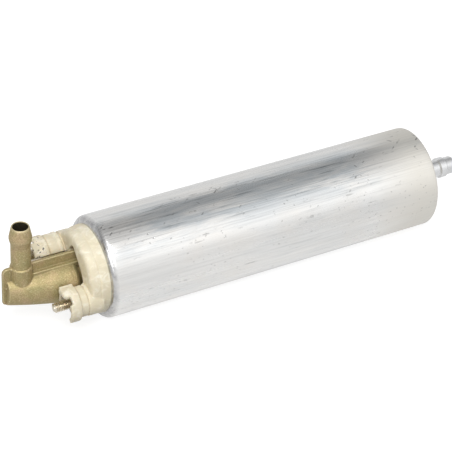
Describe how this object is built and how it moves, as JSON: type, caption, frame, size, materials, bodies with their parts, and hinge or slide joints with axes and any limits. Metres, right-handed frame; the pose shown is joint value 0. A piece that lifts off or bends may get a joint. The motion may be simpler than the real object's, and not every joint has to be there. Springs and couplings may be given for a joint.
{
  "type": "in-line electric fuel pump",
  "caption": "Cylindrical in-line electric fuel pump in a drawn metal tube, with a moulded end cap, shrouded threaded terminals, a cast outlet elbow with a hose barb and an inlet nipple.",
  "frame": {"origin": "on the tube's axis, halfway along the tube, where the mounting band goes", "axes": "+X along the tube from the terminal end to the inlet end, +Z along the outlet barb"},
  "size_m": [0.2133, 0.043, 0.0517],
  "materials": {
    "tube_alu": "drawn, satin",
    "cream_plastic": "moulded, satin",
    "zinc_casting": "rough cast, yellow passivated",
    "plated_steel": "plated",
    "brass": "machined",
    "rubber": "moulded",
    "copper": "wound or machined",
    "ferrite": "pressed",
    "bronze": "sintered",
    "machined_alu": "machined",
    "dark_plastic": "moulded",
    "mesh": "woven"
  },
  "bodies": {
    "housing": {"tube_housing": "tube_alu", "end_cap": "cream_plastic", "cap_oring": "rubber", "outlet_elbow": "zinc_casting", "elbow_retainer": "cream_plastic", "retainer_screws": "plated_steel", "elbow_oring": "rubber", "valve_seat": "brass", "check_spring": "plated_steel", "stud_small": "plated_steel", "stud_large": "plated_steel", "terminal_strip_small": "brass", "terminal_strip_large": "brass", "choke_core_upper": "ferrite", "choke_core_lower": "ferrite", "choke_coil_upper": "copper", "choke_coil_lower": "copper", "brush_holder": "cream_plastic", "front_bearing": "bronze", "brush_box_upper": "brass", "brush_box_lower": "brass", "brush_spring_upper": "plated_steel", "brush_spring_lower": "plated_steel", "flux_ring": "plated_steel", "magnet_near": "ferrite", "magnet_far": "ferrite", "magnet_clip_upper": "plated_steel", "magnet_clip_lower": "plated_steel", "motor_spacer": "machined_alu", "rear_bearing": "bronze", "outlet_plate": "machined_alu", "pump_ring": "plated_steel", "inlet_plate": "machined_alu", "relief_spring": "plated_steel", "relief_plug": "brass", "pump_screws": "plated_steel", "pump_spacer": "machined_alu", "strainer_frame": "dark_plastic", "strainer_mesh": "mesh", "inlet_cover": "machined_alu", "cover_oring": "rubber", "inlet_nipple": "plated_steel"},
    "armature": {"shaft": "plated_steel", "armature_core": "plated_steel", "windings": "copper", "commutator": "copper", "commutator_hub": "dark_plastic", "thrust_washer_front": "cream_plastic", "thrust_washer_rear": "cream_plastic", "inner_rotor": "plated_steel"},
    "ring_rotor": {"outer_rotor": "plated_steel"},
    "outlet_check": {"check_ball": "plated_steel"},
    "relief": {"relief_ball": "plated_steel"},
    "upper_brush": {"brush_upper": "ferrite"},
    "lower_brush": {"brush_lower": "ferrite"}
  },
  "joints": [
    {"name": "armature_spin", "type": "hinge", "parent": "housing", "child": "armature", "pos_m": [0, 0, 0], "axis": [1, 0, 0], "continuous": true},
    {"name": "ring_rotor_spin", "type": "hinge", "parent": "housing", "child": "ring_rotor", "pos_m": [0, 0.001, 0], "axis": [1, 0, 0], "continuous": true},
    {"name": "outlet_check_lift", "type": "slide", "parent": "housing", "child": "outlet_check", "axis": [-1, 0, 0], "range_m": [0, 0.002], "stiffness_N_per_m": 200, "springref_m": -0.004, "deforming": ["check_spring"]},
    {"name": "relief_lift", "type": "slide", "parent": "housing", "child": "relief", "axis": [1, 0, 0], "range_m": [0, 0.0012], "stiffness_N_per_m": 800, "springref_m": -0.0035, "deforming": ["relief_spring"]},
    {"name": "upper_brush_lift", "type": "slide", "parent": "housing", "child": "upper_brush", "axis": [0, 0, 1], "range_m": [0, 0.001], "stiffness_N_per_m": 300, "springref_m": -0.004, "deforming": ["brush_spring_upper"]},
    {"name": "lower_brush_lift", "type": "slide", "parent": "housing", "child": "lower_brush", "axis": [0, 0, -1], "range_m": [0, 0.001], "stiffness_N_per_m": 300, "springref_m": -0.004, "deforming": ["brush_spring_lower"]}
  ],
  "couplings": [
    {"joint": "ring_rotor_spin", "follows": "armature_spin", "ratio": 0.85714}
  ]
}
